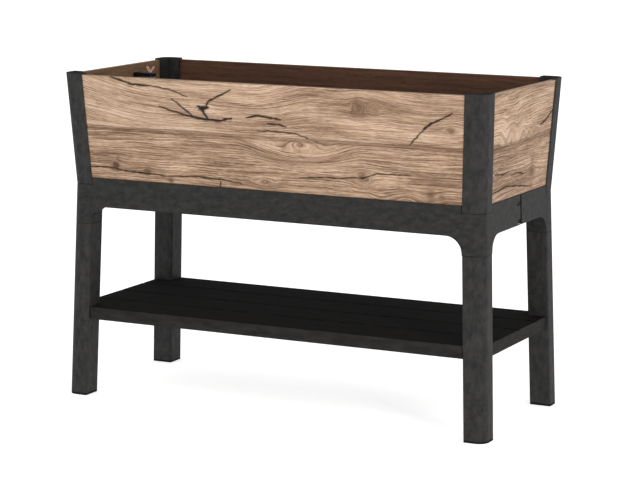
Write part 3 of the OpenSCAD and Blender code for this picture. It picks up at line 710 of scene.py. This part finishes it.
RIGHT = {
    "checks": [
        (2.6, [(112, 153), (140, 158), (160, 166), (200, 186)]),
        (1.3, [(-60, 52), (-20, 54), (20, 48)]),
        (1.2, [(-160, 66), (-110, 60), (-70, 63)]),
        (1.6, [(-170, 22), (-90, 30), (-20, 24), (70, 12)]),
    ],
    "knots": [
        (75, 46, 10, 1.2, 0.65, 0.0),
        (-150, 62, 8, 1.2, 0.5, 0.0),
        (70, 10, 8, 1.3, 0.4, 0.0),
    ],
    "swirls": [
        (-70, 128, 3, 120, 0.62),
        (40, 127, 3, 70, 0.5),
    ],
    "stains": [
        (30, 112, 18, 14, 0.45), (75, 70, 10, 24, 0.35), (-150, 58, 30, 9, 0.4),
        (70, 20, 16, 16, 0.3), (-60, 175, 40, 30, 0.12),
    ],
    "bends": [(-20, 90, 12)],
}
REAR = {
    "checks": [
        (2.6, [(-330, 170), (-270, 178), (-200, 172), (-140, 160)]),
        (1.5, [(-140, 160), (-90, 158), (-40, 165)]),
        (3.2, [(180, 196), (230, 204), (290, 200), (350, 188)]),
        (1.8, [(60, 60), (140, 66), (230, 58), (300, 62)]),
        (1.4, [(-470, 40), (-380, 34), (-300, 44), (-220, 38)]),
        (2.0, [(420, 236), (455, 214), (470, 190)]),
    ],
    "knots": [
        (-110, 205, 15, 1.2, 0.6, 0.0),
        (330, 60, 12, 1.4, 0.65, 0.3),
        (-430, 190, 11, 1.2, 0.5, 0.0),
        (20, 90, 7, 1.5, 0.6, 0.0),
    ],
    "swirls": [(80, 140, 4, 60, 2.4), (-300, 20, 4, 50, 2.2), (400, 128, 4, 60, 1.6)],
    "stains": [(-200, 30, 50, 12, 0.3), (240, 110, 60, 10, 0.25), (440, 30, 30, 16, 0.4)],
    "bends": [(-380, 150, 60), (60, 90, -30), (380, 120, 36)],
}
LEFT = {
    "checks": [
        (2.4, [(-150, 196), (-90, 188), (-30, 192), (30, 184)]),
        (1.6, [(40, 44), (90, 52), (150, 46)]),
    ],
    "knots": [(-70, 60, 10, 1.2, 0.6, 0.0), (110, 165, 12, 1.2, 0.5, 0.0)],
    "swirls": [(-20, 128, 3, 90, 0.6), (120, 4, 4, 50, 1.8)],
    "stains": [(80, 100, 30, 12, 0.3), (-140, 30, 24, 12, 0.35)],
    "bends": [(60, 110, -26)],
}


NOISE_CELLS = 256


def smooth_noise(x, y, seed):
    """Smooth random values from -1 to 1, one unit apart, on arrays x and y."""
    table = np.random.default_rng(seed).uniform(-1, 1, (NOISE_CELLS, NOISE_CELLS))
    column, row = np.floor(x).astype(int), np.floor(y).astype(int)
    fx, fy = x - column, y - row
    fx, fy = fx * fx * (3 - 2 * fx), fy * fy * (3 - 2 * fy)

    def corner(i, j):
        return table[(column + i) % NOISE_CELLS, (row + j) % NOISE_CELLS]

    low = corner(0, 0) * (1 - fx) + corner(1, 0) * fx
    high = corner(0, 1) * (1 - fx) + corner(1, 1) * fx
    return low * (1 - fy) + high * fy


NOISE_LAYERS = 3


def layered_noise(x, y, seed):
    """Smooth noise with finer and weaker noise on top of it, still from -1 to 1."""
    total, weight = np.zeros_like(x), 1.0
    for layer in range(NOISE_LAYERS):
        total += weight * smooth_noise(x * 2 ** layer, y * 2 ** layer, seed + layer)
        weight *= 0.5
    return total / (2 - 2 * weight)


def ease(value):
    """A soft step: 0 below 0, 1 above 1."""
    value = np.clip(value, 0, 1)
    return value * value * (3 - 2 * value)


def check_share(s, t, half_width, path):
    """How open a drying check is at each point, from 0 to 1: it thins out at both ends."""
    share = np.zeros_like(s)
    stretches = len(path) - 1
    for i, ((s0, t0), (s1, t1)) in enumerate(zip(path, path[1:])):
        ds, dt = s1 - s0, t1 - t0
        along = np.clip(((s - s0) * ds + (t - t0) * dt) / (ds * ds + dt * dt), 0, 1)
        away = np.hypot(s - s0 - along * ds, t - t0 - along * dt)
        place = (i + along) / stretches
        width = half_width * (1 - 0.65 * np.abs(2 * place - 1) ** 3)
        width = width * (0.85 + 0.4 * smooth_noise(s / 8, t / 8, 90))
        share = np.maximum(share, ease(1.25 - away / (width + 0.4)))
    return share


def grain_course(s, t, planks, seed):
    """The level that the grain keeps at each point: wavy, bent, and ringed in the swirls."""
    joint = planks["joint_mm"]
    upper = t >= joint
    across = t + 7 * smooth_noise(s / 260, t / 90, seed + 9)
    across += 1.6 * smooth_noise(s / 60, t / 22, seed + 11)
    high_up = upper * (0.35 + 0.65 * (t - joint) / joint)
    for s0, half, rise in planks["bends"]:
        across -= rise * ease((s - s0 + half) / (2 * half)) * high_up
    for s0, t0, inner, outer, stretch in planks["swirls"]:
        away = np.hypot((s - s0) / stretch, t - t0)
        share = ease((outer - away) / (outer - inner)) * (upper == (t0 >= joint))
        share = SWIRL_HOLD * share
        across = across * (1 - share) + (away * 1.15 + t0) * share
    return across


def grow_knots(s, t, across, planks, seed):
    """Leads the grain round the knots: its new course, how dark they are and their holes."""
    joint = planks["joint_mm"]
    mark, hole = np.zeros_like(s), np.zeros_like(s)
    for s0, t0, radius, stretch, dark, opened in planks["knots"]:
        ds, dt = (s - s0) / stretch, t - t0
        away = np.hypot(ds, dt) + radius * 0.3 * layered_noise(s / 9, t / 6, seed + 21)
        same_plank = (t >= joint) == (t0 >= joint)
        bend = radius ** 2 / (np.maximum(away, radius * 0.6) ** 2)
        across = across - dt * bend * same_plank
        inside = ease((radius * 1.35 - away) / (radius * 0.8)) * same_plank
        across = across * (1 - inside) + (away * 0.5 + t0) * inside
        halo = ease((radius * 2.3 - away) / (radius * 1.6)) * same_plank
        blotch = 0.78 + 0.3 * layered_noise(s / 6, t / 4, seed + 23)
        blotch += 0.35 * layered_noise(s / 12, across / 1.8, seed + 25)
        mark = np.maximum(mark, np.maximum(inside, halo * 0.6) * dark * blotch * DARKENING)
        hole = np.maximum(hole, opened * ease((radius * 0.95 - away) / (radius * 0.35)))
    return across, mark, hole


def stain_marks(s, rough_s, rough_t, across, planks, seed):
    """How dark the stains are at each point."""
    mark = np.zeros_like(s)
    grainy = 0.75 + 0.25 * smooth_noise(s / 14, across / 2.2, seed + 31)
    for s0, t0, size_s, size_t, strength in planks["stains"]:
        spread = ((rough_s - s0) / size_s) ** 2 + ((rough_t - t0) / size_t) ** 2
        mark = np.maximum(mark, strength * np.exp(-spread) * grainy * DARKENING)
    return mark


# The dark lines along the joint of the planks: (mm above its middle, half width, darkness).
SEAM_LINES = ((3.6, 2.0, 0.95), (-3.8, 1.7, 0.9), (0, 6.0, 0.42))
# The lower edge's darkness is painted shade where the panel meets the rail.
LOW_EDGE_SHADE = (0.6, 5.0)       # darkness of the panel's lower edge, and how many mm up it fades


def joint_and_edge_shade_marks(s, t, planks, seed):
    """How dark the joint of the planks is at each point, with painted shade along the panel's
    lower edge, where it meets the rail.
    """
    mark = np.zeros_like(s)
    away = t - planks["joint_mm"] + 1.3 * smooth_noise(s / 45, t * 0, seed + 81)
    edge_wear_and_shade_share = 0.7 + 0.3 * layered_noise(s / 16, t / 3, seed + 83)
    for middle, half_width, dark in SEAM_LINES:
        line = ease(1.3 - np.abs(away - middle) / half_width)
        mark = np.maximum(mark, dark * edge_wear_and_shade_share * line)
    dark, fade = LOW_EDGE_SHADE
    return np.maximum(mark, dark * ease(1 - t / fade))


def wood_fields(s, t, planks, seed):
    """The grain's course and its marks at each point of a face; s, t in millimetres."""
    upper = t >= planks["joint_mm"]
    rough_s = s + 3.0 * layered_noise(s / 22, t / 12, seed)
    rough_t = t + 1.6 * layered_noise(s / 16, t / 9, seed + 5)
    across, marks_and_shade, crack = grow_knots(s, t, grain_course(s, t, planks, seed), planks, seed)
    marks_and_shade = np.maximum(marks_and_shade, stain_marks(s, rough_s, rough_t, across, planks, seed))
    marks_and_shade = np.maximum(marks_and_shade, joint_and_edge_shade_marks(s, t, planks, seed))
    marks_and_shade = np.minimum(marks_and_shade, DARKEST_MARK)
    for half_width, path in planks["checks"]:
        browned = check_share(rough_s, rough_t, half_width + CHECK_BROWNING_MM, path)
        marks_and_shade = np.maximum(marks_and_shade, 0.5 * browned)
        crack = np.maximum(crack, check_share(rough_s, rough_t, half_width, path))
    tone = 0.05 * layered_noise(s / 150, across / 26, seed + 41) - 0.03 * (~upper)
    along = s + PLANK_SHIFT * upper + WALL_SHIFT[0] * seed
    streak = layered_noise(along / 34, across / 3.4, seed + 51)
    return {"along": along, "across": across + WALL_SHIFT[1] * seed, "marks_and_shade": marks_and_shade,
            "crack": crack, "tone": tone, "streak": streak}


def wall_planes(node):
    """The eight corners of a wall: [face or back][low or high][left or right]."""
    low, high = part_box(node)
    points = np.array([v.co for v in frame["nodes"][node].data.vertices], float)
    side_wall = (high - low).x > (high - low).y
    run, out = (0, 1) if side_wall else (1, 0)
    outward = 1 if (low + high)[out] > 0 else -1
    rightward = -outward if side_wall else outward
    corners = np.zeros((2, 2, 2, 3))
    for level, z in enumerate((low.z, high.z)):
        rim = points[np.abs(points[:, 2] - z) < MERGE_DISTANCE]
        face = (rim[:, out] * outward).max() * outward
        back = (rim[:, out] * outward).min() * outward
        reach = np.abs(rim[:, run]).max()
        for depth, plane in enumerate((face, back)):
            for end, sign in enumerate((-1, 1)):
                corners[depth, level, end, run] = sign * rightward * reach
                corners[depth, level, end, out] = plane
                corners[depth, level, end, 2] = z
    return corners


def grid_points(corners, u, v):
    """Points of a four-cornered face at shares u (left to right) and v (low to high)."""
    u, v = u[None, :, None], v[:, None, None]
    low = corners[0, 0] * (1 - u) + corners[0, 1] * u
    high = corners[1, 0] * (1 - u) + corners[1, 1] * u
    return low * (1 - v) + high * v


def grid_faces(rows, columns, start, flip):
    """Four-sided faces over a grid of points, numbered row by row from start."""
    i, j = np.meshgrid(np.arange(rows - 1), np.arange(columns - 1), indexing="ij")
    first = (start + i * columns + j).ravel()
    quads = np.stack([first, first + 1, first + columns + 1, first + columns], axis=1)
    return (quads[:, ::-1] if flip else quads).tolist()


def rim_faces(face_line, back_line, flip):
    """Polygons that join a face's fine border to the back's coarse border."""
    polygons = []
    for k in range(len(back_line) - 1):
        fine = face_line[k * BACK_SHARE:(k + 1) * BACK_SHARE + 1]
        polygon = [back_line[k + 1], back_line[k], *fine]
        polygons.append(polygon[::-1] if flip else polygon)
    return polygons


def carved_depth(s, t, fields, planks, seed):
    """How far each point of a face is cut back: groove, grain, checks and knots."""
    groove_away = np.abs(t - planks["joint_mm"]) * MM
    groove_wander = 1 + 0.25 * smooth_noise(s / 40, t * 0, seed + 61)
    groove = GROOVE_DEPTH * np.clip(1 - groove_away / (GROOVE_HALF * groove_wander), 0, 1)
    relief = GRAIN_DEPTH * (0.5 - 0.5 * fields["streak"])
    relief = relief + CHECK_DEPTH * fields["crack"] + KNOT_DEPTH * fields["marks_and_shade"]
    row, column = np.arange(s.shape[0]), np.arange(s.shape[1])
    border = np.minimum.outer(np.minimum(row, row[::-1]), np.minimum(column, column[::-1]))
    depth = np.maximum(groove, relief) * np.clip(border / 2, 0, 1)
    return np.maximum(depth, groove * (border > 0))


def closed_panel(name, outer, back):
    """A closed mesh of a fine face and a coarse back; only the face is smooth."""
    face_at = np.arange(outer.shape[0] * outer.shape[1]).reshape(outer.shape[:2])
    back_at = (face_at.size + np.arange(back.shape[0] * back.shape[1])).reshape(back.shape[:2])
    faces = grid_faces(*outer.shape[:2], 0, flip=False)
    face_count = len(faces)
    for border, flip in ((np.s_[0], True), (np.s_[-1], False),
                         (np.s_[:, 0], False), (np.s_[:, -1], True)):
        faces += rim_faces(face_at[border].tolist(), back_at[border].tolist(), flip)
    rim_end = len(faces)
    faces += grid_faces(*back.shape[:2], face_at.size, flip=True)
    mesh = bpy.data.meshes.new(name)
    vertices = np.concatenate([outer.reshape(-1, 3), back.reshape(-1, 3)])
    mesh.from_pydata(vertices.tolist(), [], faces)
    mesh.polygons.foreach_set("material_index", [int(i >= rim_end) for i in range(len(faces))])
    mesh.polygons.foreach_set("use_smooth", [i < face_count for i in range(len(faces))])
    return mesh


def lay_grain(mesh, fields, back_fields):
    """Gives a panel its marks, and the map in metres that its grain follows."""
    back_zeros = np.zeros(back_fields["along"].size)
    for name in ("tone", "marks_and_shade", "crack"):
        layer = mesh.attributes.new(name, "FLOAT", "POINT")
        whole = np.concatenate([fields[name].ravel(), back_zeros])
        layer.data.foreach_set("value", whole.astype(np.float32))
    grain_map = np.stack([np.concatenate([fields[name].ravel(), back_fields[name].ravel()])
                          for name in ("along", "across")], axis=1) * MM
    loops = np.zeros(len(mesh.loops), int)
    mesh.loops.foreach_get("vertex_index", loops)
    mesh.uv_layers.new(name="grain").data.foreach_set(
        "uv", grain_map[loops].astype(np.float32).ravel())


def make_wall(node, planks, seed, back_finish):
    corners = wall_planes(node)
    length = np.linalg.norm(corners[0, 1, 1] - corners[0, 1, 0])
    height = np.linalg.norm(corners[0, 1, 0] - corners[0, 0, 0])
    columns = BACK_SHARE * round(length / GRAIN_STEP_ALONG / BACK_SHARE)
    rows = BACK_SHARE * round(height / GRAIN_STEP_ACROSS / BACK_SHARE)
    u, v = np.linspace(0, 1, columns + 1), np.linspace(0, 1, rows + 1)
    outer = grid_points(corners[0], u, v)
    back = grid_points(corners[1], u[::BACK_SHARE], v[::BACK_SHARE])
    run = int(np.argmax(np.abs(corners[0, 0, 1] - corners[0, 0, 0])))
    rightward = np.sign(corners[0, 0, 1, run])
    s = outer[:, :, run] * rightward / MM
    t = (outer[:, :, 2] - outer[0, 0, 2]) / MM
    planks = dict(planks, joint_mm=t.max() / 2)
    fields = wood_fields(s, t, planks, seed)
    inward = corners[1, 0, 0] - corners[0, 0, 0]
    inward = inward / np.linalg.norm(inward)
    depth = carved_depth(s, t, fields, planks, seed)
    mesh = closed_panel(node, outer + depth[:, :, None] * inward, back)

    back_s, back_t = s[::BACK_SHARE, ::BACK_SHARE], t[::BACK_SHARE, ::BACK_SHARE]
    back_wave = 4 * smooth_noise(back_s / 120, back_t / 60, seed + 71)
    lay_grain(mesh, fields, {"along": back_s + BACK_START + BACK_SHIFT[0] * seed,
                             "across": back_t + back_wave + BACK_SHIFT[1] * seed})
    place_piece(f"{node}_planks", mesh, BODY_OF[node], [node],
                ["oak_face", back_finish])


# ---------- screws ----------

HEAD_SIDES, HEAD_RINGS, SHANK_SIDES = 32, 6, 20
DOME_DROP = 0.72            # how far the dome narrows toward its top, as a share of the area


def screw_tree():
    """Geometry nodes: a pan-head screw with a cross recess on every point, along its aim."""
    tree = bpy.data.node_groups.new("pan_head_screws", "GeometryNodeTree")
    inputs = {}
    for name, kind, value in (
            ("Geometry", "NodeSocketGeometry", None),
            ("Head Diameter", NUMBER, 9 * MM), ("Head Height", NUMBER, 3 * MM),
            ("Shank Diameter", NUMBER, 4.5 * MM),
            ("Shank Length", NUMBER, 20 * MM),
            ("Recess Width", NUMBER, 1.1 * MM),
            ("Recess Depth", NUMBER, 1.6 * MM),
            ("Material", "NodeSocketMaterial", None)):
        socket = tree.interface.new_socket(name, in_out="INPUT", socket_type=kind)
        if value is not None:
            socket.default_value = value
        inputs[name] = socket.identifier
    tree.interface.new_socket("Geometry", in_out="OUTPUT", socket_type="NodeSocketGeometry")
    board = Board(tree)
    given = board.add("NodeGroupInput").outputs

    def halve(socket):
        return board.math("DIVIDE", socket, 2.0)

    def cylinder(diameter, depth, sides, rings):
        return board.step("GeometryNodeMeshCylinder", vertices=sides, side_segments=rings,
                          radius=halve(diameter), depth=depth)["Mesh"]

    def moved(mesh, z):
        return board.step("GeometryNodeTransform", geometry=mesh,
                          translation=board.joined(z=z))["Geometry"]

    def bar(length, width):
        double_depth = board.math("MULTIPLY", given["Recess Depth"], 2.0)
        size = board.joined(length, width, double_depth)
        return moved(board.step("GeometryNodeMeshCube", size=size)["Mesh"],
                     given["Head Height"])

    head = moved(cylinder(given["Head Diameter"], given["Head Height"], HEAD_SIDES, HEAD_RINGS),
                 halve(given["Head Height"]))
    point = board.split(board.add("GeometryNodeInputPosition").outputs[0])
    level = board.math("DIVIDE", point["Z"], given["Head Height"], clamp=True)
    drop = board.math("MULTIPLY", board.math("POWER", level, 3.0), DOME_DROP)
    narrowing = board.math("SQRT", board.math("SUBTRACT", 1.0, drop))
    domed = board.joined(board.math("MULTIPLY", point["X"], narrowing),
                         board.math("MULTIPLY", point["Y"], narrowing), point["Z"])
    dome = board.step("GeometryNodeSetPosition", geometry=head, position=domed)
    recess_length = board.math("MULTIPLY", given["Head Diameter"], 0.5)
    cut = board.add("GeometryNodeMeshBoolean", operation="DIFFERENCE")
    board.feed(cut.inputs[0], dome["Geometry"])
    board.feed(cut.inputs[1], bar(recess_length, given["Recess Width"]))
    board.feed(cut.inputs[1], bar(given["Recess Width"], recess_length))
    shank_middle = board.math("MULTIPLY", given["Shank Length"], -0.5)
    shank = moved(cylinder(given["Shank Diameter"], given["Shank Length"], SHANK_SIDES, 1),
                  shank_middle)
    whole = board.add("GeometryNodeJoinGeometry")
    board.feed(whole.inputs[0], cut.outputs[0])
    board.feed(whole.inputs[0], shank)
    aim = board.add("GeometryNodeInputNamedAttribute", data_type="FLOAT_VECTOR")
    aim.inputs["Name"].default_value = "aim"
    turn = board.step("FunctionNodeAlignRotationToVector", {"axis": "Z"},
                      vector=aim.outputs["Attribute"])
    spread = board.step("GeometryNodeInstanceOnPoints", points=given["Geometry"],
                        instance=whole.outputs[0], rotation=turn["Rotation"])
    real = board.step("GeometryNodeRealizeInstances", geometry=spread["Instances"])
    painted = board.step("GeometryNodeSetMaterial", geometry=real[0],
                         material=given["Material"])
    board.feed(board.add("NodeGroupOutput").inputs[0], painted[0])
    return tree, inputs


HEAD_RADIUS_FROM = 0.4      # points this share of the head's width off the axis are the head's
HEAD_END = 0.49             # and the head's end lies over this share of the screw off its middle
SEAT_DIGITS = 5             # seats are put in order by their places to 0.01 mm


def screw_seats(node):
    """Where each screw of a node sits: (point under the head, direction of the head, length)."""
    form = bmesh.new()
    form.from_mesh(frame["nodes"][node].data)
    bmesh.ops.remove_doubles(form, verts=form.verts, dist=MERGE_DISTANCE)
    left, seats = set(form.verts), []
    while left:
        island, queue = set(), [left.pop()]
        while queue:
            vertex = queue.pop()
            island.add(vertex)
            for edge in vertex.link_edges:
                other = edge.other_vert(vertex)
                if other in left:
                    left.discard(other)
                    queue.append(other)
        points = np.array([v.co for v in island])
        low, high = points.min(0), points.max(0)
        size = high - low
        axis = int(np.argmax(np.abs(size - np.median(size))))
        middle = (low + high) / 2
        radius = np.linalg.norm(np.delete(points - middle, axis, axis=1), axis=1)
        wide = points[radius > HEAD_RADIUS_FROM * np.median(size)]
        head_low, head_high = wide[:, axis].min(), wide[:, axis].max()
        toward = 1 if head_high > middle[axis] + size[axis] * HEAD_END else -1
        under = head_low if toward > 0 else head_high
        seat = middle.copy()
        seat[axis] = under
        direction = np.zeros(3)
        direction[axis] = toward
        seats.append((seat, direction, size[axis] - (head_high - head_low)))
    form.free()
    seats.sort(key=lambda each: tuple(np.round(each[0], SEAT_DIGITS)))
    return seats


def make_screws():
    tree, inputs = screw_tree()
    for node in sorted(n for n in frame["nodes"] if n.endswith("_screws")):
        seats = screw_seats(node)
        mesh = bpy.data.meshes.new(f"{node}_seats")
        mesh.from_pydata([seat.tolist() for seat, _, _ in seats], [], [])
        aim = mesh.attributes.new("aim", "FLOAT_VECTOR", "POINT")
        aim.data.foreach_set("vector", np.concatenate([d for _, d, _ in seats]))
        holder = new_object("holder", mesh)
        modifier = holder.modifiers.new("screws", "NODES")
        modifier.node_group = tree
        modifier[inputs["Shank Length"]] = float(seats[0][2])
        modifier[inputs["Material"]] = FINISHES["zinc_steel"]
        ready = evaluated_mesh(holder)
        holder.modifiers.clear()
        bpy.data.objects.remove(holder)
        for polygon in ready.polygons:
            polygon.use_smooth = True
        ready.set_sharp_from_angle(angle=SHARP_EDGE)
        ready.materials.clear()
        place_piece(f"{node}_driven", ready, BODY_OF[node], [node],
                    ["zinc_steel"])


# ---------- building ----------

point_camera()
build_studio()
FINISHES = build_finishes()
make_moulded_parts()
make_wall("wall_front", FRONT, 1, "oak_back")
make_wall("wall_right", RIGHT, 2, "oak_back_lit")
make_wall("wall_rear", REAR, 3, "oak_back")
make_wall("wall_left", LEFT, 4, "oak_back_lit")
make_screws()
